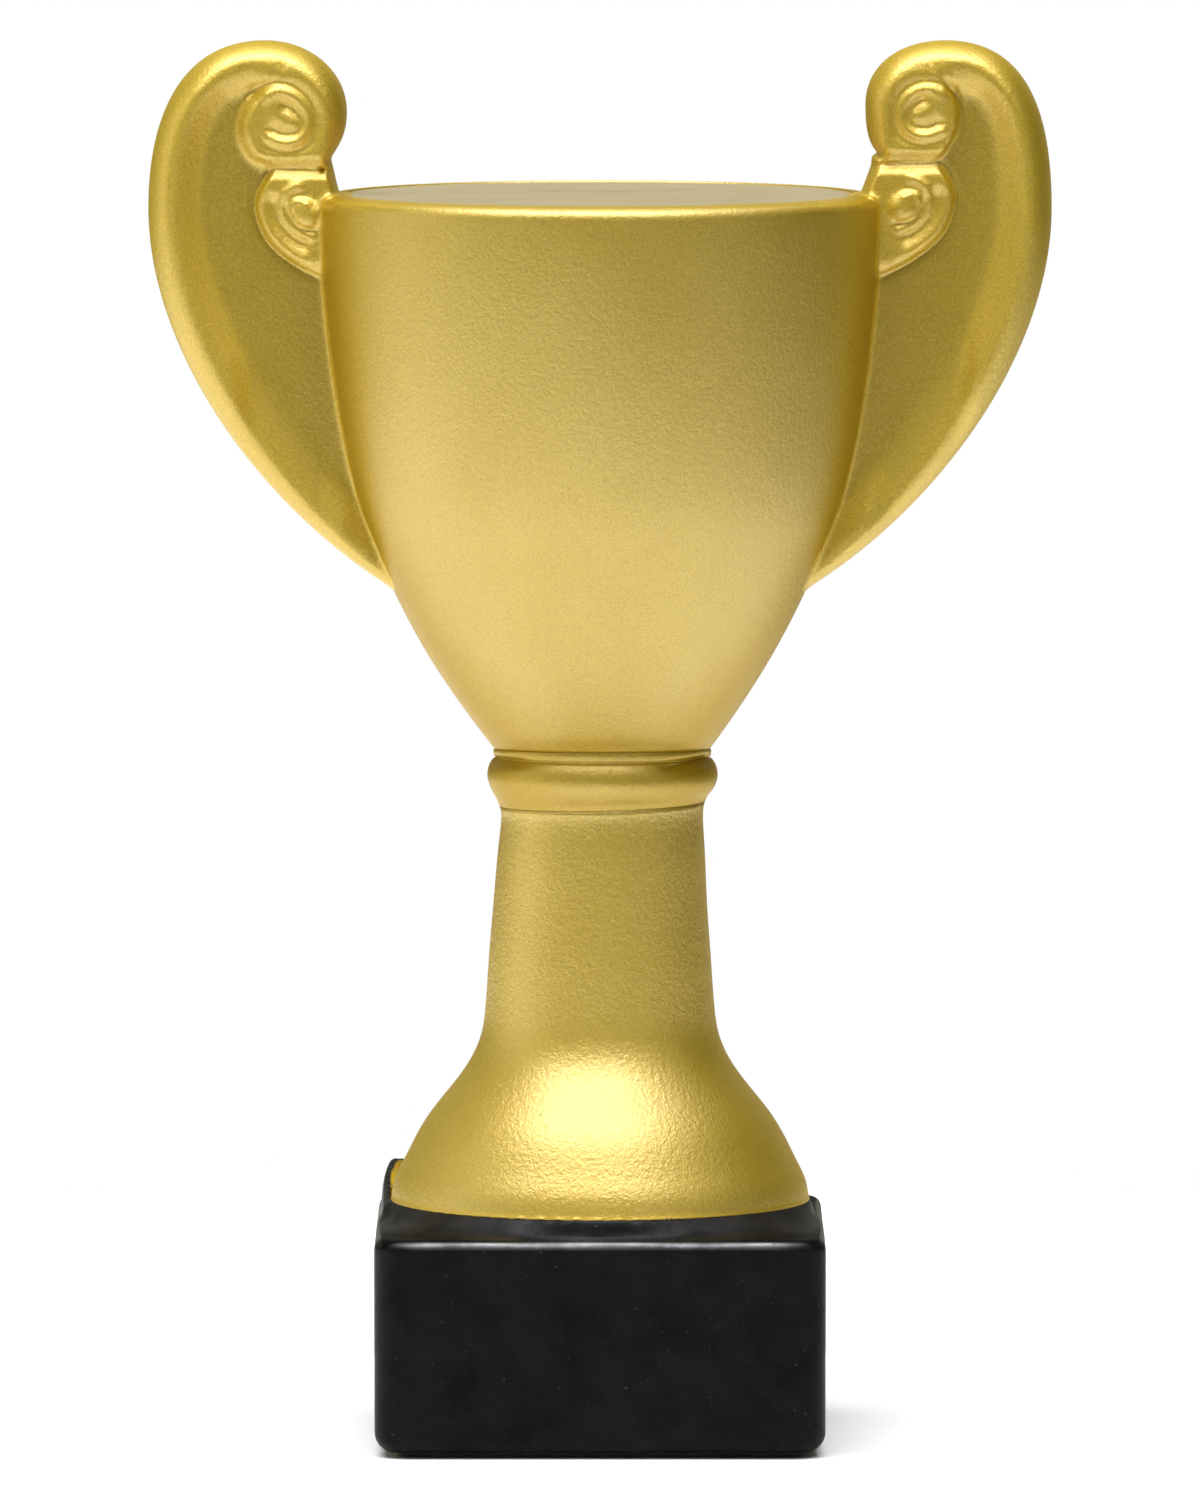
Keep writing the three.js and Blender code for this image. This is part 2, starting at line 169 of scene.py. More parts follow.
def revolved(outline, facets, reshape=None):
    """Turns a closed outline of (radius, height) about Z. reshape(angle, r, z) may change r and z."""
    outline = np.asarray(outline, float)
    rows = len(outline)
    angle = np.arange(facets) * 2 * math.pi / facets
    angle = np.broadcast_to(angle, (rows, facets))
    r = np.broadcast_to(outline[:, :1], (rows, facets))
    z = np.broadcast_to(outline[:, 1:2], (rows, facets))
    if reshape:
        r, z = reshape(angle, r, z)
    points = np.stack([r * np.cos(angle), r * np.sin(angle), z], -1).reshape(-1, 3)
    i = np.arange(rows)[:, None] * facets
    j = np.arange(facets)[None, :]
    i_next = np.roll(i, -1, axis=0)
    j_next = np.roll(j, -1, axis=1)
    quads = np.stack([i + j, i + j_next, i_next + j_next, i_next + j], -1).reshape(-1, 4)
    return points, quads


CORNERS = np.array([(i, j, k) for i in (0, 1) for j in (0, 1) for k in (0, 1)])


def surface_net(field, low, step):
    """Quads where a field on a grid is zero, with one point in each cell that the surface crosses."""
    cells = np.array(field.shape) - 1
    inside = field < 0

    def corner(values, c):
        return values[c[0]:c[0] + cells[0], c[1]:c[1] + cells[1], c[2]:c[2] + cells[2]]

    count = sum(corner(inside, c).astype(np.int8) for c in CORNERS)
    active = (count > 0) & (count < 8)
    where = np.argwhere(active)
    number = np.full(cells, -1, np.int64)
    number[active] = np.arange(len(where))
    total = np.zeros((len(where), 3))
    crossings = np.zeros(len(where))
    for a in CORNERS:
        for axis in range(3):
            if a[axis]:
                continue
            b = a.copy()
            b[axis] = 1
            fa = corner(field, a)[active]
            fb = corner(field, b)[active]
            crossed = (fa < 0) != (fb < 0)
            t = np.where(crossed, fa / np.where(crossed, fa - fb, 1), 0)
            spot = np.zeros_like(total) + a
            spot[:, axis] = t
            total += spot * crossed[:, None]
            crossings += crossed
    points = np.array(low) + step * (where + total / crossings[:, None])
    quads = []
    for axis in range(3):
        u, v = (axis + 1) % 3, (axis + 2) % 3
        size = cells.copy()
        start = np.ones(3, int)
        start[axis] = 0
        here = tuple(slice(start[n], size[n]) for n in range(3))
        there = tuple(slice(start[n] + (n == axis), size[n] + (n == axis)) for n in range(3))
        change = inside[here] != inside[there]
        at = np.argwhere(change) + start
        leaving = inside[here][change]
        around = []
        for du, dv in ((0, 0), (1, 0), (1, 1), (0, 1)):
            cell = at.copy()
            cell[:, u] -= du
            cell[:, v] -= dv
            around.append(number[tuple(cell.T)])
        quad = np.stack(around, 1)
        quad[leaving] = quad[leaving][:, ::-1]
        quads.append(quad)
    return points, np.vstack(quads)


def largest_island(points, quads):
    """Leaves out the loose bits of a mesh: only the largest connected piece is kept."""
    label = np.arange(len(points))
    while True:
        lowest = label[quads].min(1)
        new = label.copy()
        np.minimum.at(new, quads.ravel(), np.repeat(lowest, 4))
        new = new[new]
        if (new == label).all():
            break
        label = new
    main = np.bincount(label).argmax()
    keep = label == main
    renumber = np.cumsum(keep) - 1
    return points[keep], renumber[quads[keep[quads[:, 0]]]]


# ---------------------------------------------------------------- fields

def smooth_union(a, b, k):
    """Two fields as one, with a fillet of about k where they meet."""
    h = np.maximum(k - np.abs(a - b), 0) / k
    return np.minimum(a, b) - h * h * k / 4


def smooth_both(a, b, k):
    """What lies inside both fields, with a rounding of about k."""
    return -smooth_union(-a, -b, k)


def nearest_on(points, x, z):
    """Distance from each (x, z) to a run of points, and the nearest spot's share of the run (0 to 1)."""
    along = run_length(points)
    along /= along[-1]
    best = np.full(np.broadcast(x, z).shape, np.inf)
    place = np.zeros_like(best)
    for a, b, s0, s1 in zip(points[:-1], points[1:], along[:-1], along[1:]):
        edge = b[:2] - a[:2]
        t = ((x - a[0]) * edge[0] + (z - a[1]) * edge[1]) / (edge @ edge)
        t = np.clip(t, 0, 1)
        d = (x - a[0] - t * edge[0]) ** 2 + (z - a[1] - t * edge[1]) ** 2
        closer = d < best
        best = np.where(closer, d, best)
        place = np.where(closer, s0 + t * (s1 - s0), place)
    return np.sqrt(best), place


def inside_outline(points, x, z):
    """True where (x, z) lies inside a closed outline."""
    odd = np.zeros(np.broadcast(x, z).shape, bool)
    for a, b in zip(points, np.roll(points, -1, axis=0)):
        if a[1] == b[1]:
            continue
        spans = (a[1] > z) != (b[1] > z)
        odd ^= spans & (x < a[0] + (z - a[1]) * (b[0] - a[0]) / (b[1] - a[1]))
    return odd


def outline_field(points, x, z):
    """Signed distance to a closed outline."""
    closed = np.vstack([points, points[:1]])
    d, _ = nearest_on(closed, x, z)
    return np.where(inside_outline(points, x, z), -d, d)


# ---------------------------------------------------------------- node-tree kit

class Look:
    """A Principled material with a few short calls for the textures that the pieces share."""

    def __init__(self, name, **inputs):
        self.material = bpy.data.materials.new(name)
        self.material.use_nodes = True
        self.tree = self.material.node_tree
        self.shader = self.tree.nodes["Principled BSDF"]
        coordinates = self.tree.nodes.new("ShaderNodeTexCoord")
        self.place = coordinates.outputs["Object"]
        self.facing = coordinates.outputs["Normal"]
        for name, value in inputs.items():
            self.shader.inputs[name.replace("_", " ")].default_value = value

    def link(self, source, target):
        self.tree.links.new(source, target)

    def feed(self, name, source):
        """Links a socket to the shader's input of that name."""
        self.link(source, self.shader.inputs[name])

    def node(self, kind, **settings):
        made = self.tree.nodes.new(kind)
        for name, value in settings.items():
            setattr(made, name, value)
        return made

    def noise(self, size_mm, detail=2.0, rough=0.5, distortion=0.0):
        """Noise whose features are about so many millimetres across."""
        n = self.node("ShaderNodeTexNoise")
        n.inputs["Scale"].default_value = 1 / (size_mm * MM)
        n.inputs["Detail"].default_value = detail
        n.inputs["Roughness"].default_value = rough
        n.inputs["Distortion"].default_value = distortion
        self.link(self.place, n.inputs["Vector"])
        return n.outputs["Fac"]

    def ramp(self, source, *stops):
        """A colour ramp: each stop is (position, grey or colour)."""
        r = self.node("ShaderNodeValToRGB")
        elements = r.color_ramp.elements
        while len(elements) < len(stops):
            elements.new(0.5)
        for element, (position, colour) in zip(elements, stops):
            element.position = position
            rgb = (colour, colour, colour) if np.isscalar(colour) else colour
            element.color = (*rgb, 1)
        self.link(source, r.inputs["Fac"])
        return r.outputs["Color"]

    def span(self, source, low, high, to_low=0.0, to_high=1.0, smooth=False):
        """Maps low..high onto to_low..to_high, and holds the end values beyond them."""
        m = self.node("ShaderNodeMapRange", interpolation_type="SMOOTHSTEP" if smooth else "LINEAR")
        for name, value in (("From Min", low), ("From Max", high), ("To Min", to_low), ("To Max", to_high)):
            m.inputs[name].default_value = value
        self.link(source, m.inputs["Value"])
        return m.outputs["Result"]

    def math(self, operation, a, b=None):
        m = self.node("ShaderNodeMath", operation=operation)
        for socket, value in zip(m.inputs, (a, b)):
            if value is None:
                continue
            if isinstance(value, (int, float)):
                socket.default_value = value
            else:
                self.link(value, socket)
        return m.outputs[0]

    def times(self, a, b):
        return self.math("MULTIPLY", a, b)

    def absolute(self, a):
        return self.math("ABSOLUTE", a)

    def axis(self, name, vector=None):
        """One coordinate of a vector, which is the place on the piece unless another is given."""
        s = self.node("ShaderNodeSeparateXYZ")
        self.link(vector or self.place, s.inputs[0])
        return s.outputs[name]

    def mix(self, factor, a, b):
        """A mix of two colours, each a colour or a socket."""
        m = self.node("ShaderNodeMix", data_type="RGBA")
        self.link(factor, m.inputs["Factor"])
        for socket, value in ((m.inputs[6], a), (m.inputs[7], b)):
            if isinstance(value, tuple):
                socket.default_value = (*value, 1)
            else:
                self.link(value, socket)
        return m.outputs[2]

    def bump(self, *layers):
        """Stacks bumps: each layer is (height socket, height in millimetres)."""
        normal = None
        for height, millimetres in layers:
            b = self.node("ShaderNodeBump")
            b.inputs["Distance"].default_value = millimetres * MM
            self.link(height, b.inputs["Height"])
            if normal:
                self.link(normal, b.inputs["Normal"])
            normal = b.outputs["Normal"]
        self.feed("Normal", normal)
        self.feed("Coat Normal", normal)


# ---------------------------------------------------------------- materials

GOLD = (0.572, 0.396, 0.016)
GOLD_PALE = (0.593, 0.420, 0.030)
# Painted highlight for the handles' rolled rims.
GOLD_RIM_HIGHLIGHT = (0.80, 0.56, 0.016)
# Painted shade for the gold left and right, beside the handles and at the collar's ends.
GOLD_SIDE_SHADE = (0.44, 0.28, 0.002)
# Painted shade, olive, for the handles' flat webs.
GOLD_WEB_SHADE = (0.30, 0.205, 0.002)
GOLD_YELLOW = (0.66, 0.43, 0.004)
GOLD_DEEP = (0.30, 0.17, 0.002)
BLACK = (0.004, 0.004, 0.004)


def web_mask(look):
    """1 on a handle's flat, low web and 0 on its rolled rim, volute and leaf."""
    flat = look.span(look.absolute(look.axis("Y", look.facing)), 0.85, 0.98)
    depth = look.absolute(look.axis("Y"))
    low = look.span(depth, (WEB_HALF + 0.05) * MM, (WEB_HALF + 0.3) * MM, 1.0, 0.0)
    return look.times(flat, low)


def paint_edge(look, colour, line):
    """Thin, yellow gold just over the line where the gold ends, and ragged black nicks below it."""
    height = look.axis("Z")
    sprayed = look.math("ADD", height, look.times(look.noise(0.8), 0.4 * MM))
    thin = look.span(sprayed, (line + 0.2) * MM, (line + 0.9) * MM, 1.0, 0.0)
    nicks = look.math("SUBTRACT", height, look.times(look.noise(0.20, detail=2), 0.8 * MM))
    bare = look.span(nicks, (line - 0.46) * MM, (line - 0.43) * MM, 1.0, 0.0)
    return look.mix(bare, look.mix(thin, colour, GOLD_YELLOW), BLACK)


def gold_look(name, peel=0.032, paint_line=None, shaded_web_lit_rim=False, painted_side_shade=False):
    """Satin gold lacquer: flake in a yellow binder under a hard, paler gloss, with fine orange peel.

    peel is the orange peel's height in millimetres, and paint_line the height where the gold ends.
    shaded_web_lit_rim paints painted shade, olive, on flat webs and a painted highlight on rolled rims.
    painted_side_shade paints shade on the gold left and right.
    """
    look = Look(name, Metallic=0.66, Specular_IOR_Level=0.0, Coat_IOR=1.95, Coat_Roughness=0.40)
    cloud = look.noise(9, detail=3, rough=0.55)
    grazing = look.node("ShaderNodeLayerWeight").outputs["Facing"]
    colour = look.mix(look.span(cloud, 0.35, 0.65, smooth=True), GOLD, GOLD_PALE)
    gloss = look.span(grazing, 0.30, 0.95, 1.0, 0.25)
    if shaded_web_lit_rim:
        # Painted light: rolled rims painted brighter as a highlight, flat webs darker olive as shade, with a
        # fine speckle.
        web = web_mask(look)
        speckle = look.span(look.noise(0.24, detail=2), 0.35, 0.65, 0.30, 0.75)
        colour = look.mix(look.span(web, 0.0, 1.0, 0.50, 0.0), colour, GOLD_RIM_HIGHLIGHT)
        colour = look.mix(look.times(web, speckle), colour, GOLD_WEB_SHADE)
        gloss = look.times(gloss, look.span(web, 0.0, 1.0, 0.9, 0.6))
    if painted_side_shade:
        # Painted shade: darker, less glossy gold left and right, beside the handles and at the collar's
        # ends.
        depth = look.absolute(look.axis("Y"))
        sides = look.span(depth, 5.5 * MM, 13 * MM, 0.7, 0.0, smooth=True)
        colour = look.mix(sides, colour, GOLD_SIDE_SHADE)
        gloss = look.times(gloss, look.span(sides, 0.0, 0.7, 1.0, 0.45))
    flake = look.span(look.noise(0.16, detail=2), 0.40, 0.70, 0.0, 0.45)
    colour = look.mix(flake, colour, GOLD_DEEP)
    if paint_line is not None:
        colour = paint_edge(look, colour, paint_line)
    look.feed("Base Color", colour)
    look.feed("Roughness", look.span(grazing, 0.60, 1.0, 0.48, 0.40))
    look.feed("Coat Weight", gloss)
    look.bump((look.noise(0.45, detail=1.5), peel), (look.noise(0.20, detail=1), peel * 0.6))
    return look.material


def disc_look(name):
    """The same lacquer on the flat mouth, its colour paler and greyer than the gold's as a painted
    reflection of the pale room at a grazing view, with a faint brown smear across its back.
    """
    look = Look(name, Metallic=0.6, Roughness=0.45, Specular_IOR_Level=0.0,
                Coat_Weight=1.0, Coat_IOR=2.1, Coat_Roughness=0.22)
    cloud = look.span(look.noise(7, detail=4, rough=0.6), 0.3, 0.7, smooth=True)
    # Paler, greyer colour than the gold: painted reflection of the pale room.
    colour = look.mix(cloud, (0.52, 0.38, 0.13), (0.58, 0.45, 0.20))
    wander = look.times(look.noise(6), 9 * MM)
    across = look.absolute(look.math("SUBTRACT", look.axis("Y"), wander))
    along = look.absolute(look.axis("X"))
    smear = look.times(look.span(across, 0.2 * MM, 1.2 * MM, 0.6, 0.0),
                       look.span(along, 5 * MM, 9 * MM, 1.0, 0.0))
    look.feed("Base Color", look.mix(smear, colour, (0.42, 0.24, 0.10)))
    look.bump((look.noise(0.60, detail=1.5), 0.02), (look.noise(0.22, detail=1), 0.01))
    return look.material


def overspray(look, x, y, z):
    """1 where gold has drifted onto the inner slope of the fold behind the foot, with a ragged edge."""
    behind = look.math("SUBTRACT", y, FOLD_MIDDLE * MM)
    bow = look.times(look.times(behind, behind), FOLD_BEND / MM)
    inwards = look.math("SUBTRACT", look.math("ADD", x, FOLD_REACH * MM), bow)
    inwards = look.math("ADD", inwards, look.times(look.noise(1.1), 0.3 * MM))
    left = look.span(x, -1 * MM, 0, 1.0, 0.0)
    above_seat = look.span(z, SEAT_Z * MM, (SEAT_Z + 0.15) * MM)
    return look.times(look.times(look.span(inwards, 0.30 * MM, 0.50 * MM), left), above_seat)


def black_highlight_paint(look, x, y, z):
    """How strongly the black mirrors, laid out by place as a painted highlight: most along the top's outer
    rim, a little in the cove, least elsewhere.
    """
    across, depth = look.absolute(x), look.absolute(y)
    radius = look.math("SQRT", look.math("ADD", look.times(x, x), look.times(y, y)))
    cove = look.span(radius, 18.4 * MM, 23.0 * MM, 0.10, 0.01, smooth=True)
    cove = look.times(cove, look.span(z, (PLINTH_TOP - 0.3) * MM, PLINTH_TOP * MM))
    edge_top = look.span(z, (PLINTH_TOP - 0.3) * MM, (PLINTH_TOP - 0.15) * MM, 1.0, 0.0)
    edge_low = look.span(z, (PLINTH_TOP - 0.9) * MM, (PLINTH_TOP - 0.55) * MM, 0.04, 1.0)
    outer = look.math("MAXIMUM", across, depth)
    rim = look.span(outer, (PLINTH_HALF - 0.75) * MM, (PLINTH_HALF - 0.45) * MM)
    corner = look.math("MINIMUM", across, depth)
    rim = look.times(rim, look.span(corner, 14 * MM, 17.5 * MM, 1.0, 0.1, smooth=True))
    rim = look.times(rim, look.math("MINIMUM", edge_low, edge_top))
    sides = look.span(z, (PLINTH_TOP - 0.9) * MM, (PLINTH_TOP - 0.8) * MM, 0.04, 0.0)
    painted_highlight = look.math("MAXIMUM", look.math("MAXIMUM", rim, sides), cove)
    # Noise makes the painted highlight patchy.
    patchy_highlight = look.span(look.noise(4, detail=5, rough=0.65), 0.38, 0.6, 0.45, 1.0)
    return look.times(painted_highlight, patchy_highlight)


def black_look(name):
    """Satin black with dust and lint, gold overspray behind the foot, and a painted highlight along the
    top's rim.
    """
    look = Look(name, IOR=1.8, Specular_IOR_Level=0.03)
    patches = look.noise(5, detail=4)
    dust = look.ramp(look.noise(0.40, detail=0.5), (0.755, 0.0), (0.80, 1.0))
    threads = look.noise(1.3, detail=1, distortion=2.5)
    lint = look.ramp(threads, (0.497, 0.0), (0.500, 1.0), (0.503, 0.0))
    lint = look.times(lint, look.span(look.noise(3.2), 0.60, 0.70))
    x, y, z = look.axis("X"), look.axis("Y"), look.axis("Z")
    gold = overspray(look, x, y, z)
    colour = look.mix(look.span(patches, 0.3, 0.7), (0.0045, 0.0045, 0.0047), (0.0067, 0.0067, 0.0069))
    colour = look.mix(dust, colour, (0.030, 0.030, 0.030))
    colour = look.mix(lint, colour, (0.022, 0.022, 0.022))
    look.feed("Base Color", look.mix(gold, colour, GOLD_YELLOW))
    look.feed("Metallic", look.times(gold, 0.52))
    look.feed("Roughness", look.span(patches, 0.3, 0.7, 0.39, 0.45))
    # The black's mirror strength is a painted highlight, laid out by place.
    look.feed("Specular IOR Level", black_highlight_paint(look, x, y, z))
    look.bump((look.noise(1.1, detail=2), 0.025), (look.noise(0.25, detail=1), 0.008), (dust, 0.03))
    return look.material


def steel_look(name):
    """Zinc-plated steel, faintly stained."""
    look = Look(name, Metallic=1.0, Roughness=0.32)
    stain = look.noise(3, detail=3)
    look.feed("Base Color", look.mix(stain, (0.50, 0.51, 0.53), (0.62, 0.62, 0.60)))
    look.feed("Roughness", look.span(look.noise(0.4), 0.3, 0.7, 0.25, 0.45))
    look.bump((look.noise(0.2), 0.004))
    return look.material


def plaster_look(name):
    """Cast plaster with small pores."""
    look = Look(name, Roughness=0.9)
    pores = look.ramp(look.noise(0.8, detail=3), (0.30, 0.0), (0.42, 1.0))
    look.feed("Base Color", look.mix(pores, (0.42, 0.39, 0.34), (0.66, 0.63, 0.57)))
    look.bump((pores, 0.15), (look.noise(0.3, detail=3), 0.04))
    return look.material


def board_look(name):
    """Pressed fibreboard."""
    look = Look(name, Roughness=0.85)
    fibre = look.noise(0.6, detail=5, rough=0.7)
    look.feed("Base Color", look.mix(fibre, (0.17, 0.105, 0.05), (0.34, 0.23, 0.13)))
    look.bump((fibre, 0.05))
    return look.material


def felt_look(name):
    """Dark green pressed felt."""
    look = Look(name, Roughness=1.0, Sheen_Weight=0.4, Sheen_Roughness=0.5)
    fibre = look.noise(0.25, detail=4, rough=0.7, distortion=1.5)
    tuft = look.noise(1.6, detail=2)
    colour = look.mix(fibre, (0.010, 0.026, 0.016), (0.032, 0.068, 0.044))
    colour = look.mix(look.span(tuft, 0.35, 0.65, 0, 0.5), colour, (0.014, 0.034, 0.022))
    look.feed("Base Color", colour)
    look.bump((tuft, 0.12), (fibre, 0.10))
    return look.material


# ---------------------------------------------------------------- outlines of the turned body

def cup_side():
    """Outer side of the cup from its underside up to the flat mouth."""
    shoulder = (20.1, 78.5)
    rim_start = (CUP_RADIUS, MOUTH_Z - 1.2)
    lower = bezier((9.35, CUP_Z), (13.9, 65.3), (16.7, 69.7), shoulder, 60)
    upper = bezier(shoulder, (22.5, 84.5), (CUP_RADIUS, 97.9), rim_start, 60)
    rim = bezier(rim_start, (CUP_RADIUS, MOUTH_Z - 0.35), (23.6, MOUTH_Z - 0.02), (22.1, MOUTH_Z), 14)
    return joined(lower, upper, rim)


def stem_side():
    """Outer side of the pedestal from the seat up the bell foot and the stem."""
    bell = [(SEAT_RADIUS, SEAT_Z), (17.72, 21.9), (16.95, 23.6), (15.1, 27.1), (12.45, 30.55), (10.82, 33.1)]
    stem = [(10.18, 34.9), (9.93, 36.6), (9.62, 41), (9.24, 46.1), (8.86, 51.6)]
    neck = [(8.75, 53.0), (8.78, 53.6), (8.91, RING_Z - 0.03)]
    return spline(bell + stem + neck, 14)


def softly_uneven(angle, r, z):
    """A hand-finished moulding: a little out of round, and not quite true at the collar."""
    outside = np.clip((r - 6) / 2.5, 0, 1)
    wave = 0.03 * np.sin(2 * angle + 0.09 * z) + 0.02 * np.sin(3 * angle - 0.21 * z + 1.3) - 0.05
    lean = 0.20 * np.cos(angle) * np.exp(-((z - 56) / 8) ** 2)
    lower_seam = (0.42 + 0.22 * np.cos(angle)) * np.exp(-((z - RING_Z) / 1.3) ** 2)
    upper_seam = 0.36 * np.clip(-np.sin(angle), 0, 1) * np.exp(-((z - CUP_Z) / 1.2) ** 2)
    return r + outside * (wave + lean), z + np.clip((r - 7) / 1.5, 0, 1) * (lower_seam + upper_seam)


# ---------------------------------------------------------------- turned pieces

def make_cup(material):
    """The hollow cup, with a rebate for the mouth disc and a floor with the rod's hole."""
    side = cup_side()
    inner_side = moved_inwards(side, WALL)
    floor = CUP_Z + 3.3
    spigot = CUP_Z - 1.5
    ledge = 20.5
    inner = inner_side[(inner_side[:, 1] > floor + 0.4) & (inner_side[:, 1] < DISC_Z - 4)][::-1]
    mouth = [(DISC_REBATE, MOUTH_Z - 0.06), (DISC_REBATE, DISC_Z), (ledge, DISC_Z), (ledge, DISC_Z - 1.2),
             (CUP_RADIUS - WALL, DISC_Z - 3)]
    outline = joined(
        (9.15, CUP_Z), resampled(side, 0.3), mouth, resampled(inner, 1.0), (inner[-1, 0] - 0.3, floor),
        (ROD_HOLE, floor), (ROD_HOLE, spigot), (ROD_BOSS, spigot), (ROD_BOSS, CUP_Z))
    points, quads = revolved(outline, BODY_FACETS, softly_uneven)
    return mesh_piece("cup_bowl_skin", points, quads, "cup_bowl", material)


def make_disc(material):
    """The flat mouth, which dips a little towards its edge."""
    radius = DISC_REBATE - 0.04
    dip = 0.05
    top = [(r, MOUTH_Z - dip - dip * (r / radius) ** 2) for r in np.linspace(radius - 0.15, 0, 30)]
    edge = [(radius - 0.2, DISC_Z), (radius, DISC_Z + 0.2), (radius, MOUTH_Z - 0.25)]
    outline = joined((0, DISC_Z), edge, top)
    points, quads = revolved(outline, BODY_FACETS, softly_uneven)
    return mesh_piece("mouth_disc_skin", points, quads, "mouth_disc", material)


def make_ring(material):
    """The bead, a neck band over it, and between the two a cut line that opens into a fold at either end."""
    line_z = 58.42
    bead = spline([(8.95, RING_Z + 0.02), (9.06, 54.45), (9.36, 55.1), (9.72, 55.9), (9.95, 56.7),
                   (9.93, 57.35), (9.80, 57.8), (9.62, 58.12), (9.42, line_z - 0.04)], 8)
    band = bezier((9.36, line_z + 0.06), (9.40, line_z + 0.3), (9.48, CUP_Z - 0.3), (9.37, CUP_Z - 0.02), 10)
    outside = resampled(joined(bead, band), 0.06)
    outline = joined((6.0, RING_Z), (8.86, RING_Z), outside, (9.12, CUP_Z), (6.0, CUP_Z))

    def hand_cut(angle, r, z):
        turn = (np.degrees(angle) + 180) % 360 - 180
        line = np.exp(-((z - line_z) / 0.09) ** 2)
        left = np.exp(-((turn + 157) / 24) ** 4)
        right = np.exp(-((turn + 33) / 22) ** 4)
        right_z = line_z - 0.20 + 0.30 * (turn + 33) / 22
        cut = 0.14 * line
        cut = cut + 0.50 * left * np.exp(-((z - line_z + 0.15) / 0.36) ** 2)
        cut = cut + 0.60 * right * np.exp(-((z - right_z) / 0.38) ** 2)
        return softly_uneven(angle, r - cut * (r > 7), z)

    points, quads = revolved(outline, BODY_FACETS, hand_cut)
    return mesh_piece("collar_ring_skin", points, quads, "collar_ring", material)


def make_pedestal(material):
    """Bell foot and stem. The gold skin's lower edge laps over the black seat with a ragged line."""
    side = stem_side()
    ceiling = RING_Z - 3
    spigot = RING_Z + 2.9
    inner_side = moved_inwards(side, WALL)
    inner = inner_side[(inner_side[:, 1] > SEAT_Z + 0.6) & (inner_side[:, 1] < ceiling)][::-1]
    lap = [(SEAT_RADIUS - 0.3, SEAT_Z - GOLD_LAP), (SEAT_RADIUS + 0.02, SEAT_Z - GOLD_LAP),
           (SEAT_RADIUS + 0.05, SEAT_Z - GOLD_LAP / 2)]
    outline = joined(
        lap, resampled(side, 0.4), (8.84, RING_Z), (ROD_BOSS, RING_Z), (ROD_BOSS, spigot),
        (ROD_HOLE, spigot), (ROD_HOLE, ceiling), (8.75 - WALL, ceiling), resampled(inner, 1.0),
        (SEAT_RADIUS - WALL, SEAT_Z), (SEAT_RADIUS - 0.3, SEAT_Z))

    def ragged(angle, r, z):
        teeth = sum(np.sin(n * angle + 1.7 * n) / (1 + i) for i, n in enumerate((67, 113, 151, 197, 241)))
        roughness = 0.006 + 0.02 * np.exp(-((np.degrees(angle) - 256) / 26) ** 2)
        drop = roughness * teeth * (z < SEAT_Z - 0.05) * (r > SEAT_RADIUS - 0.5)
        return softly_uneven(angle, r, z + drop)

    points, quads = revolved(outline, BODY_FACETS * 5 // 2, ragged)
    return mesh_piece("pedestal_skin", points, quads, "pedestal", material)


# ---------------------------------------------------------------- handles

LEFT_EYE = np.array([26.75, 113.2])


class Hand:
    """What differs between the two hand-finished handles, which are both drawn on the right.

    eye is the volute's middle, waist how near it comes to the cup, and chin its underside down to the
    neck. bevel and pit shape the leaf's top edge and the hollow at its corner. disc, with its soft
    edge disc_fade, bounds the volute's raised face, and groove and turn start its spiral: all three
    are (angle, radius) stops about the eye.
    """

    def __init__(self, name, side, eye, waist, chin, bevel, pit, disc, disc_fade, groove, turn):
        self.name = name
        self.side = side
        self.eye = eye
        self.waist = waist
        self.chin = chin
        self.bevel = bevel
        self.pit = pit
        self.disc = disc
        self.disc_fade = disc_fade
        self.groove = groove
        self.turn = turn
        self.leaf_top = eye[1] - JUNCTION_DROP

    def polar(self, degrees, radius):
        angle = math.radians(degrees)
        return (self.eye[0] + radius * math.cos(angle), self.eye[1] + radius * math.sin(angle))

    def turned(self, *stops):
        """A smooth spiral run through (angle, radius) stops about the eye."""
        return spline([self.polar(*stop) for stop in stops], 6)

    def moved(self, *points):
        """A smooth run through points drawn for the left handle, carried along with this handle's eye."""
        offset = np.array(self.eye) - LEFT_EYE
        return spline(np.array(points) + offset, 6)


LEFT = Hand(
    "left", -1, eye=(26.75, 113.2), waist=21.65,
    chin=[(22.2, 111.2), (23.05, 109.9), (22.95, 109.6)],
    bevel=0.45, pit=0.6,
    disc=[(-90, 5.0), (-47, 4.6), (-18, 4.4), (15, 4.0), (45, 3.7)], disc_fade=1.6,
    groove=[(28, 4.05), (45, 3.85), (68, 3.5), (90, 3.2)],
    turn=[(36, 3.2), (65, 2.8), (90, 2.45)])
RIGHT = Hand(
    "right", 1, eye=(27.65, 113.8), waist=22.7,
    chin=[(22.9, 111.2), (23.75, 110.35), (23.25, 110.1), (23.2, 109.3)],
    bevel=0.6, pit=0,
    disc=[(-90, 5.0), (-72, 4.2), (-52, 3.5), (-31, 3.2), (4, 3.1), (45, 3.1)], disc_fade=0.7,
    groove=[(-25, 3.15), (10, 3.05), (40, 3.1), (65, 2.95), (90, 2.8)],
    turn=[(30, 2.5), (65, 2.35), (90, 2.15)])


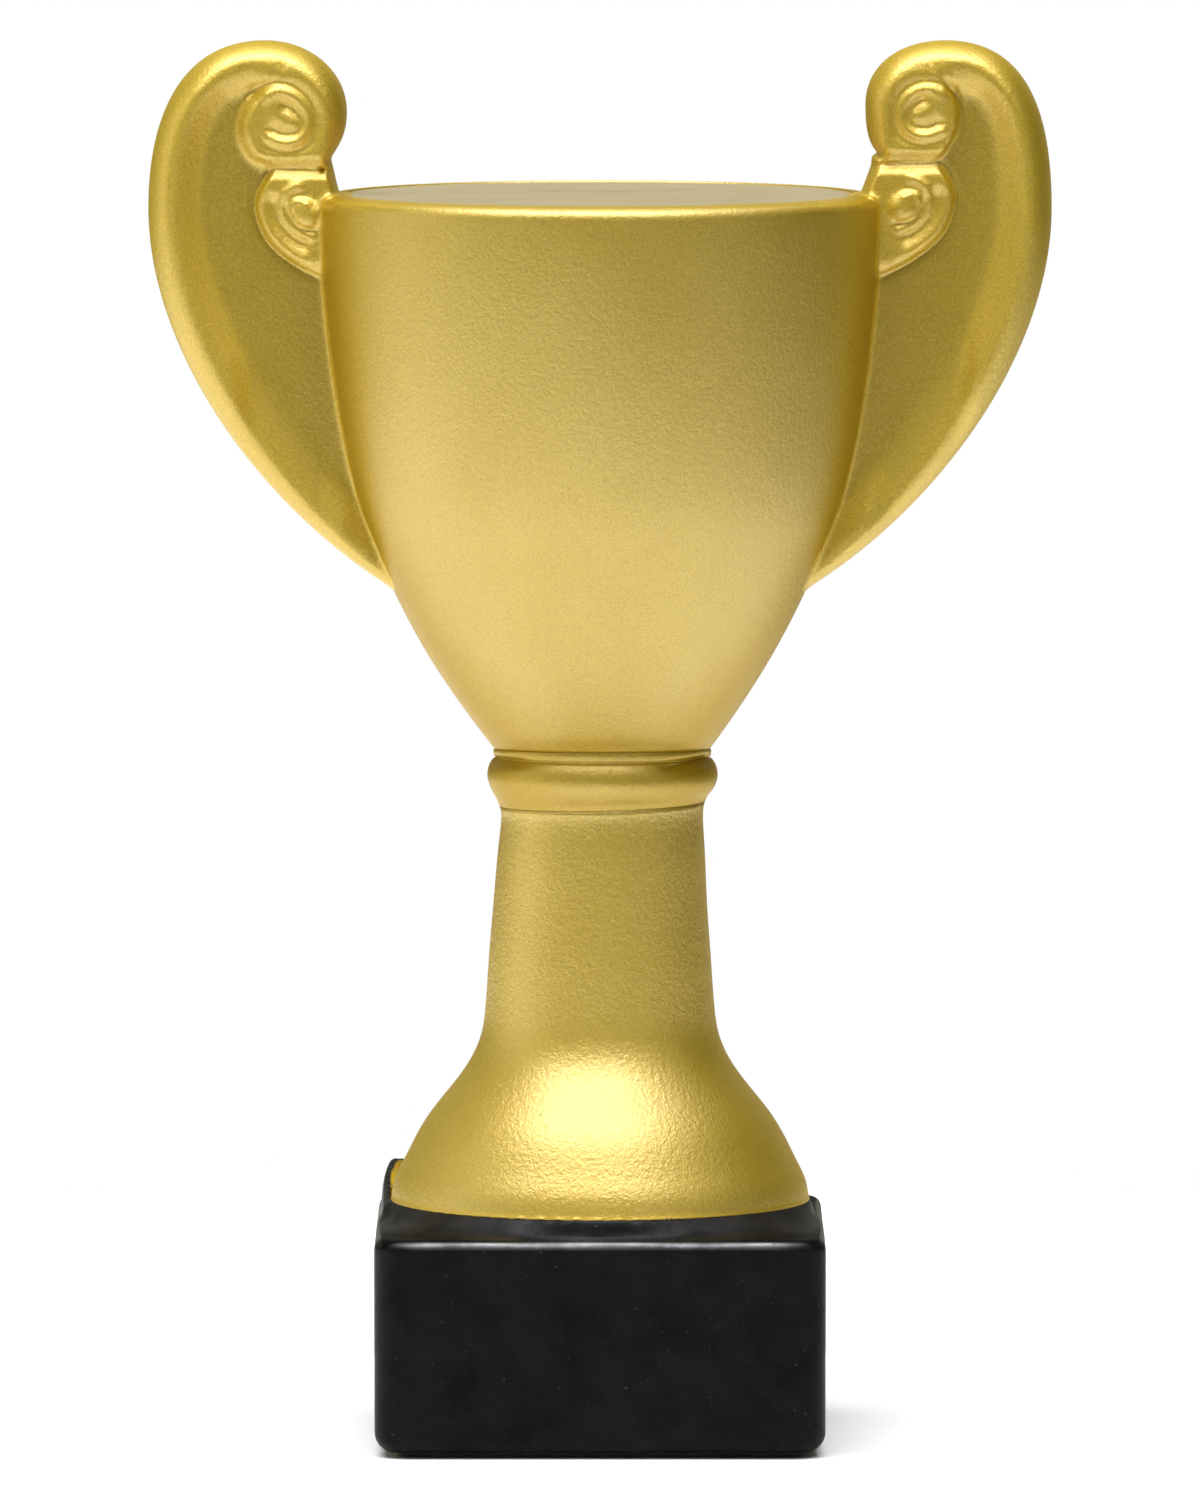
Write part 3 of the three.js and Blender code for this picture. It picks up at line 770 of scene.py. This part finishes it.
def handle_edge(hand):
    """A handle's silhouette from its tip on the cup, over the crown and round the volute to the neck."""
    eye_x, eye_z = hand.eye
    widest = (HALF_SPAN, 105.6)
    crown_top = (eye_x + 1.9, HANDLE_TOP)
    nearest = (hand.waist, eye_z + 0.7)
    lower = bezier((17.3, 72.7), (29.2, 79.8), (HALF_SPAN, 93.4), widest, 60)
    crown = bezier(widest, (HALF_SPAN, 113.4), (crown_top[0] + 7.3, HANDLE_TOP), crown_top, 50)
    inner = bezier(crown_top, (crown_top[0] - 3.9, HANDLE_TOP), (hand.waist, nearest[1] + 3.4), nearest, 24)
    under = bezier(nearest, (hand.waist, nearest[1] - 1.9), hand.chin[0], hand.chin[1], 16)
    neck = hand.chin[2:] + [(22.35, MOUTH_Z + 0.1)]
    return joined(lower, crown, inner, under, neck)


def along_edge(t, *stops):
    """A width that changes along the silhouette: each stop is (share of its length, width)."""
    places, widths = zip(*stops)
    return np.interp(t, places, widths)


def fade(value, start, end):
    """1 before start, 0 after end, and a soft slope between them."""
    t = np.clip((value - start) / (end - start), 0, 1)
    return 1 - t * t * (3 - 2 * t)


def stroke(points, x, z, width, height, ends=0.1):
    """A soft ridge (or, with a height below zero, a groove) along a run, fading out at its two ends."""
    d, t = nearest_on(points, x, z)
    reach = np.clip(np.minimum(t, 1 - t) / ends, 0, 1) if ends else 1
    return height * reach * np.exp(-(d / width) ** 2)


def roll_height(t, inside):
    """The rolled rim, broad and domed, that sinks softly into the flat web."""
    width = along_edge(t, (0, 2.6), (0.06, 4.4), (0.25, 6.0), (0.42, 5.4), (0.70, 4.5), (0.755, 4.8),
                       (0.80, 6.5), (0.93, 4.5), (1, 2.5))
    crest = along_edge(t, (0, 0.5), (0.1, 1.0), (0.3, 1.15), (0.45, 1.3), (0.7, 1.5), (0.85, 1.4), (1, 1.1))
    return WEB_HALF + crest * fade(inside, 0.30 * width, 1.10 * width)


def volute_relief(hand, x, z):
    """The spiral on the volute: a groove that winds in from the web, the turn inside it, and the eye."""
    groove = hand.turned(*hand.groove, (135, 2.65), (180, 2.5), (225, 2.6), (270, 2.5), (315, 2.6),
                         (340, 2.7))
    turn = hand.turned(*hand.turn, (135, 1.95), (180, 1.9), (225, 1.95), (270, 1.95), (315, 2.05),
                       (340, 2.1))
    hollow = hand.turned((62, 1.55), (90, 1.35), (135, 1.2), (180, 1.3), (225, 1.2), (270, 1.1),
                         (315, 1.3), (350, 1.7))
    valley = joined(bezier((34.6, 115.9), (32.6, 117.6), (30, 118.0), (28.6, 117.95), 12),
                    bezier((28.6, 117.95), (26.4, 117.9), (24.9, 116.9), (24.2, 115.3), 12))
    valley = valley + (hand.eye[0] - LEFT_EYE[0]) * np.array([0.6, 0])
    eye = hand.moved((26.1, 112.85), (26.8, 113.25), (27.7, 113.85))
    relief = stroke(groove, x, z, 0.46, -0.30, 0.10)
    relief += stroke(turn, x, z, 0.80, 0.30, 0.08)
    relief += stroke(hollow, x, z, 0.50, -0.34, 0.10)
    relief += stroke(valley, x, z, 0.80, -0.28, 0.35)
    return relief + stroke(eye, x, z, 0.70, 0.16, 0)


def disc_height(hand, x, z):
    """The volute's raised face, which ends in a line on the web side."""
    dx, dz = x - hand.eye[0], z - hand.eye[1]
    angle = np.degrees(np.arctan2(dz, dx))
    stops = hand.disc + [(75, 4.0), (95, 6.0), (115, 9.0), (235, 9.0), (270, hand.disc[0][1])]
    places, radii = zip(*stops)
    edge = np.interp(np.where(angle < -90, angle + 360, angle), places, radii)
    face = fade(np.hypot(dx, dz), edge - hand.disc_fade * 0.7, edge + hand.disc_fade * 0.3)
    return WEB_HALF + (VOLUTE_HALF - WEB_HALF) * face


def leaf_outline(hand):
    """The leaf scroll under the volute, from above its flat top round to its point on the cup."""
    side = hand.moved((28.2, 110.0), (28.45, 109.0), (29.0, 108.0), (29.6, 106.5), (29.45, 104.9),
                      (28.5, 102.8), (26.5, 101.0), (24.0, 99.55), (22.0, 98.6))
    return joined((22.0, side[0, 1]), side, (21.0, 100.0))


def leaf_height(hand, x, z):
    """The leaf scroll: a bevelled border, a dish that falls to the curl, the curl's ring and its ball."""
    depth_in = -outline_field(leaf_outline(hand), x, z)
    bevel = hand.bevel * fade(hand.leaf_top - z, 0.0, hand.bevel + 0.6)
    dish = hand.moved((27.8, 107.2), (27.75, 105.6), (27.1, 104.2), (25.9, 103.1), (24.3, 102.4))
    border = hand.moved((29.0, 107.0), (28.85, 105.0), (27.95, 103.0), (26.2, 101.5), (24.0, 100.3))
    ring = hand.moved((25.0, 107.75), (26.3, 107.5), (27.1, 106.5), (27.0, 105.2), (26.2, 104.15),
                      (25.1, 103.4), (24.2, 103.0))
    moat = hand.moved((26.7, 106.4), (26.75, 105.5), (26.1, 104.4), (25.2, 103.95), (24.0, 103.95))
    comma = hand.moved((25.1, 106.2), (25.9, 106.35), (26.4, 105.9))
    ball = hand.moved((25.0, 105.2), (25.4, 105.6))[0]
    height = (0.95 - bevel) * (1 - fade(depth_in, 0.0, 0.7))
    height += stroke(dish, x, z, 0.85, -0.45, 0.15)
    height += stroke(border, x, z, 0.24, -0.16, 0.08)
    height += stroke(ring, x, z, 0.42, 0.28, 0.10)
    height += stroke(moat, x, z, 0.32, -0.28, 0.12)
    height += 0.6 * np.exp(-(((x - ball[0]) ** 2 + (z - ball[1]) ** 2) / 1.15 ** 2) ** 1.5)
    height += stroke(comma, x, z, 0.35, 0.30, 0)
    return WEB_HALF + height * fade(-depth_in, -0.02, 0.6)


def handle_face(hand, x, z, t, inside):
    """Half the thickness over a handle's outline: rolled rim, web, volute and leaf scroll."""
    eye_x = hand.eye[0]
    above_leaf = z - hand.leaf_top
    face = roll_height(t, inside)
    face = -smooth_union(-face, -disc_height(hand, x, z), 0.6)
    face = face + volute_relief(hand, x, z)
    in_leaf = fade(outline_field(leaf_outline(hand), x, z), -0.1, 0.5) * fade(above_leaf, -0.10, 0.10)
    in_leaf = in_leaf * (1 - fade(z, 98.9, 101.5))
    under_volute = fade(np.abs(x - eye_x), 2.5, 5.0)
    raised = 1 - fade(face, WEB_HALF, VOLUTE_HALF)
    face = face - 0.70 * fade(above_leaf, 0.0, 1.3) * under_volute * raised
    face = face + (leaf_height(hand, x, z) - face) * in_leaf
    crease_z = hand.leaf_top - 0.02
    crease = [(eye_x - 3.6, crease_z), (eye_x, hand.leaf_top), (eye_x + 1.5, crease_z)]
    face = face + stroke(np.array(crease), x, z, 0.14, -0.03, 0.1)
    pit = (x - eye_x + 3.05) ** 2 + (z - hand.leaf_top + 0.05) ** 2
    return face - hand.pit * np.exp(-pit / 0.22 ** 2)


def cup_field(x, y, z):
    """Distance to the cup's outer surface."""
    side = cup_side()
    side = side[side[:, 1] < MOUTH_Z - 1.3]
    slope = np.gradient(side[:, 0]) / np.gradient(side[:, 1])
    tilt = 1 / np.sqrt(1 + np.interp(z, side[:, 1], slope) ** 2)
    wall = (np.sqrt(x ** 2 + y ** 2) - np.interp(z, side[:, 1], side[:, 0])) * tilt
    return smooth_both(wall, z - MOUTH_Z, 1.2)


def handle_mesh(hand, step=0.16):
    """A handle's surface, with its edges rounded, a drop of filler at the neck and a fillet onto the cup."""
    low = np.array([14.5, -5.4, 70.5])
    high = np.array([HALF_SPAN + 0.6, 5.4, HANDLE_TOP + 0.6])
    count = np.ceil((high - low) / step).astype(int)
    x = (low[0] + step * np.arange(count[0]))[:, None]
    y = np.abs(low[1] + step * np.arange(count[1]))[None, :, None]
    z = (low[2] + step * np.arange(count[2]))[None, :]
    edge = resampled(handle_edge(hand), 0.35)
    _, t = nearest_on(edge, x, z)
    inside = -outline_field(joined(edge, (12, 104), (8, 88), (9, 72)), x, z)
    face = handle_face(hand, x, z, t, inside)
    edge_round = along_edge(t, (0, 0.7), (0.1, 1.2), (0.3, 2.3), (0.45, 2.8), (0.78, 2.4), (0.93, 1.8),
                            (0.96, 0.9), (1, 0.8))
    share = np.clip(inside / edge_round, -1.5, 1)
    square = face ** 2 * (1 - (1 - share) ** 2)
    body = (y ** 2 - square[:, None, :]) / (2 * np.maximum(face, 1))[:, None, :]
    x, z = x[:, :, None], z[None, :, :]
    cup = cup_field(x, y, z)
    filler = np.sqrt((x - hand.eye[0] + 3.6) ** 2 + (z - MOUTH_Z + 0.7) ** 2 + (y - 2.6) ** 2) - 0.75
    body = smooth_union(body, filler, 0.6)
    fillet = smooth_union(body, cup, 0.55) + 0.02
    field = np.maximum(fillet, body - 1.0)
    field = np.maximum(field, -0.45 - cup)
    points, quads = surface_net(field, low, step)
    return largest_island(points, quads)


def make_handles(material):
    for hand in (LEFT, RIGHT):
        points, quads = handle_mesh(hand)
        shaped = points * np.array([hand.side, 1, 1])
        name = f"handle_{hand.name}"
        mesh_piece(f"{name}_skin", shaped, quads[:, ::hand.side], name, material)


# ---------------------------------------------------------------- plinth

def rounded_square(x, y, half, corner):
    """Signed distance to a square with rounded corners."""
    qx = np.abs(x) - half + corner
    qy = np.abs(y) - half + corner
    return np.hypot(np.maximum(qx, 0), np.maximum(qy, 0)) + np.minimum(np.maximum(qx, qy), 0) - corner


def rounded_prism(side, z, low, high, edge_low, edge_high):
    """A prism with its lower and upper edges rounded."""
    below, above = low - z, z - high
    edge = np.where(above > below, edge_high, edge_low)
    end = np.maximum(below, above)
    a, b = side + edge, end + edge
    return np.hypot(np.maximum(a, 0), np.maximum(b, 0)) + np.minimum(np.maximum(a, b), 0) - edge


def ridge(path, heights, x, y, ground):
    """A soft ridge along a path in plan, steeper on its outer side, with its crest at the heights."""
    crest_line = spline(path, 6)
    d, t = nearest_on(crest_line, x, y)
    place = run_length(crest_line) / run_length(crest_line)[-1]
    width = np.where(np.hypot(x, y) < np.interp(t, place, np.hypot(*crest_line.T)), 2.0, 1.3)
    crest = np.interp(t, np.linspace(0, 1, len(heights)), heights)
    return ground + np.maximum(crest - ground, 0) * np.exp(-(d / width) ** 2)


def plinth_top(x, y, side, step):
    """Height of the black skin over the plan, with its cove and fold, and the upright share of its slope."""
    inset = np.maximum(-side - 0.1, 0)
    gap = np.maximum(np.hypot(x, y) - SEAT_RADIUS - 0.1, 0)
    rise = inset / np.maximum(inset + gap, 0.01)
    low = PLINTH_TOP - 0.35
    top = low + (SEAT_Z - 0.1 - low) * rise ** 1.7
    fold = [(-18.1, -2.5), (-18.35, 2.5), (-18.3, 7.0), (-17.5, 11.5), (-15.8, 14.6), (-13.2, 16.6)]
    top = np.maximum(top, ridge(fold, (20.4, 21.1, 22.1, 22.8, 22.3, 20.2), x, y, top))
    slope_x, slope_y = np.gradient(top, step)
    return top, 1 / np.sqrt(1 + slope_x ** 2 + slope_y ** 2)


def plinth_mesh(step=0.27):
    """The hollow plinth: a soft-edged block with a cove and a fold, cut out for the foot and the ballast."""
    margin = 0.6
    low = np.array([-PLINTH_HALF - margin, -PLINTH_HALF - margin, PLINTH_Z - margin])
    high = np.array([PLINTH_HALF + margin, PLINTH_HALF + margin, SEAT_Z + 3])
    count = np.ceil((high - low) / step).astype(int)
    x = (low[0] + step * np.arange(count[0]))[:, None]
    y = (low[1] + step * np.arange(count[1]))[None, :]
    z = (low[2] + step * np.arange(count[2]))[None, None, :]
    side = rounded_square(x, y, PLINTH_HALF - 0.03, 2.8)
    top, upright = plinth_top(x, y, side, step)
    x, y = x[:, :, None], y[:, :, None]
    side, top, upright = side[:, :, None], top[:, :, None], upright[:, :, None]
    radius = np.hypot(x, y)
    sag = 0.06 * np.sin(0.21 * x + 0.8) * np.sin(0.17 * y) + 0.05 * np.sin(0.5 * x + 0.3 * y)
    block = rounded_prism(side, z, PLINTH_Z, PLINTH_TOP - 0.08 + sag, 1.7, 0.85)
    cove = smooth_both((z - top) * upright, side + 0.3, 1.3)
    cove = np.maximum(cove, PLINTH_TOP / 2 - z)
    body = smooth_union(block, cove, 0.5)
    bell = stem_side()
    bell_radius = np.interp(z, bell[:, 1], bell[:, 0]) + 0.10
    under_bell = np.minimum(z - SEAT_Z + 0.14, bell_radius - radius)
    body = np.maximum(body, under_bell)
    boss = np.maximum(radius - BOSS_RADIUS, np.abs(z - SEAT_Z) - (BOSS_TOP - SEAT_Z))
    body = np.minimum(body, boss)
    recess = np.maximum(rounded_square(x, y, PLATE_HALF + 0.12, 1.7), z - PLATE_TOP)
    cavity = np.maximum(rounded_square(x, y, BALLAST_HALF + 0.3, 1.5), z - BALLAST_TOP)
    bore = radius - ROD_HOLE
    body = np.maximum(body, -np.minimum(recess, np.minimum(cavity, bore)))
    return surface_net(body, low, step)


def make_plinth(material):
    points, quads = plinth_mesh()
    return mesh_piece("plinth_skin", points, quads, "plinth", material)


# ---------------------------------------------------------------- stage, light and camera

CAMERA_DISTANCE = 1.5
CAMERA_HEIGHT = 0.182
CAMERA_PITCH = 4.686
LENS = 420.7
FLOOR_RADIUS = 0.2

# Each glow in the room is (azimuth from the front and height, both in degrees, and strength).
ROOM_GLOWS = ((-90, 8, 1.08), (-50, 42, 0.36), (0, 42, 0.30), (50, 42, 0.52), (60, 8, 0.04),
              (-150, 25, 0.30), (168, 8, 0.42))
GLOW_EDGE = 0.80
COOL = (0.99, 0.99, 1.05)
WARM = (1.03, 1.0, 0.78, 1)
WHITE = (1, 1, 1, 1)


def make_stage():
    """A small round white table."""
    bpy.ops.mesh.primitive_circle_add(vertices=128, radius=FLOOR_RADIUS, fill_type="NGON")
    floor = bpy.context.object
    floor.name = "studio_floor"
    look = Look("studio_floor_white", Roughness=0.9, Specular_IOR_Level=0.0)
    look.feed("Base Color", look.mix(look.noise(40, detail=3), (0.95, 0.95, 0.95), (0.98, 0.98, 0.98)))
    floor.data.materials.append(look.material)


def add_lamp(name, place, width, height, watts, aim, colour=(1, 1, 1)):
    """A rectangular lamp, which the camera does not see."""
    lamp = bpy.data.lights.new(name, "AREA")
    lamp.shape = "RECTANGLE"
    lamp.size, lamp.size_y = width, height
    lamp.energy = watts
    lamp.color = colour
    holder = bpy.data.objects.new(name, lamp)
    holder.location = place
    holder.rotation_euler = (Vector(aim) - Vector(place)).to_track_quat("-Z", "Y").to_euler()
    holder.visible_camera = False
    bpy.context.scene.collection.objects.link(holder)


def add_card(name, x, y, watts):
    """A white card that lies beside the table, just below its top, and throws light upwards."""
    add_lamp(name, (x, y, -0.001), 0.4, 0.4, watts, (x, y, 1))


def soft_glow(nodes, links, direction, azimuth, height, strength):
    """One glow's share of the room's light, which falls from its middle to nothing at its edge."""
    turn, rise = math.radians(azimuth), math.radians(height)
    near = nodes.new("ShaderNodeVectorMath")
    near.operation = "DOT_PRODUCT"
    level = math.cos(rise)
    near.inputs[1].default_value = (math.sin(turn) * level, -math.cos(turn) * level, math.sin(rise))
    links.new(direction, near.inputs[0])
    glow = nodes.new("ShaderNodeMapRange")
    for name, value in (("From Min", GLOW_EDGE), ("From Max", 1.0), ("To Min", 0.0), ("To Max", strength)):
        glow.inputs[name].default_value = value
    links.new(near.outputs["Value"], glow.inputs["Value"])
    return glow.outputs["Result"]


def make_world():
    """A dark room with broad soft glows in it, which is plain white where the camera sees it."""
    world = bpy.data.worlds.new("studio_world")
    bpy.context.scene.world = world
    world.use_nodes = True
    nodes, links = world.node_tree.nodes, world.node_tree.links
    nodes.clear()
    direction = nodes.new("ShaderNodeTexCoord").outputs["Generated"]
    glows = [soft_glow(nodes, links, direction, *glow) for glow in ROOM_GLOWS]
    total = glows[0]
    for glow in glows[1:]:
        both = nodes.new("ShaderNodeMath")
        links.new(total, both.inputs[0])
        links.new(glow, both.inputs[1])
        total = both.outputs[0]
    room = nodes.new("ShaderNodeBackground")
    room.inputs["Color"].default_value = WARM
    links.new(total, room.inputs["Strength"])
    white = nodes.new("ShaderNodeBackground")
    white.inputs["Color"].default_value = WHITE
    path = nodes.new("ShaderNodeLightPath")
    mix = nodes.new("ShaderNodeMixShader")
    links.new(path.outputs["Is Camera Ray"], mix.inputs[0])
    links.new(room.outputs[0], mix.inputs[1])
    links.new(white.outputs[0], mix.inputs[2])
    out = nodes.new("ShaderNodeOutputWorld")
    links.new(mix.outputs[0], out.inputs["Surface"])


def make_lights():
    make_world()
    middle = (0, 0, HANDLE_TOP / 2 * MM)
    add_lamp("softbox_top", (-0.10, -0.35, 1.00), 1.2, 0.8, 13.8, middle, COOL)
    add_lamp("ceiling", (0, 0.1, 1.9), 2.2, 2.2, 28, middle, COOL)
    add_card("card_front_left", -0.2, -0.2, 0.72)
    add_card("card_back_left", -0.2, 0.2, 0.85)
    add_card("card_front_right", 0.2, -0.2, 0.27)
    add_card("card_back_right", 0.2, 0.2, 0.25)


def make_camera():
    data = bpy.data.cameras.new("studio_camera")
    data.lens = LENS
    data.sensor_width = 36
    camera = bpy.data.objects.new("studio_camera", data)
    camera.location = (0, -CAMERA_DISTANCE, CAMERA_HEIGHT)
    camera.rotation_euler = (math.radians(90 - CAMERA_PITCH), 0, 0)
    bpy.context.scene.collection.objects.link(camera)
    bpy.context.scene.camera = camera


def dress_cad_nodes():
    """Looks for the CAD nodes that no piece replaces: the ballast, board and felt, and the steel fixings."""
    steel = steel_look("zinc_steel")
    plain = {
        "ballast_block": plaster_look("plaster"),
        "base_plate": board_look("board"),
        "felt_pad": felt_look("felt"),
    }
    fixings = ("handle_screw", "tie_rod", "base_washer", "base_nut", "cup_washer", "cup_nut")
    for name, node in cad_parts.items():
        if name in plain or name.startswith(fixings):
            node.data.materials.clear()
            node.data.materials.append(plain.get(name, steel))


def main():
    make_camera()
    make_stage()
    make_lights()
    make_cup(gold_look("gold_lacquer_cup", painted_side_shade=True))
    make_disc(disc_look("gold_disc"))
    make_ring(gold_look("gold_lacquer", painted_side_shade=True))
    make_pedestal(gold_look("gold_lacquer_foot", peel=0.048, paint_line=SEAT_Z - GOLD_LAP))
    make_handles(gold_look("gold_lacquer_handles", peel=0.036, shaded_web_lit_rim=True))
    make_plinth(black_look("plinth_black"))
    dress_cad_nodes()
    bpy.context.scene.view_settings.view_transform = "Standard"


main()
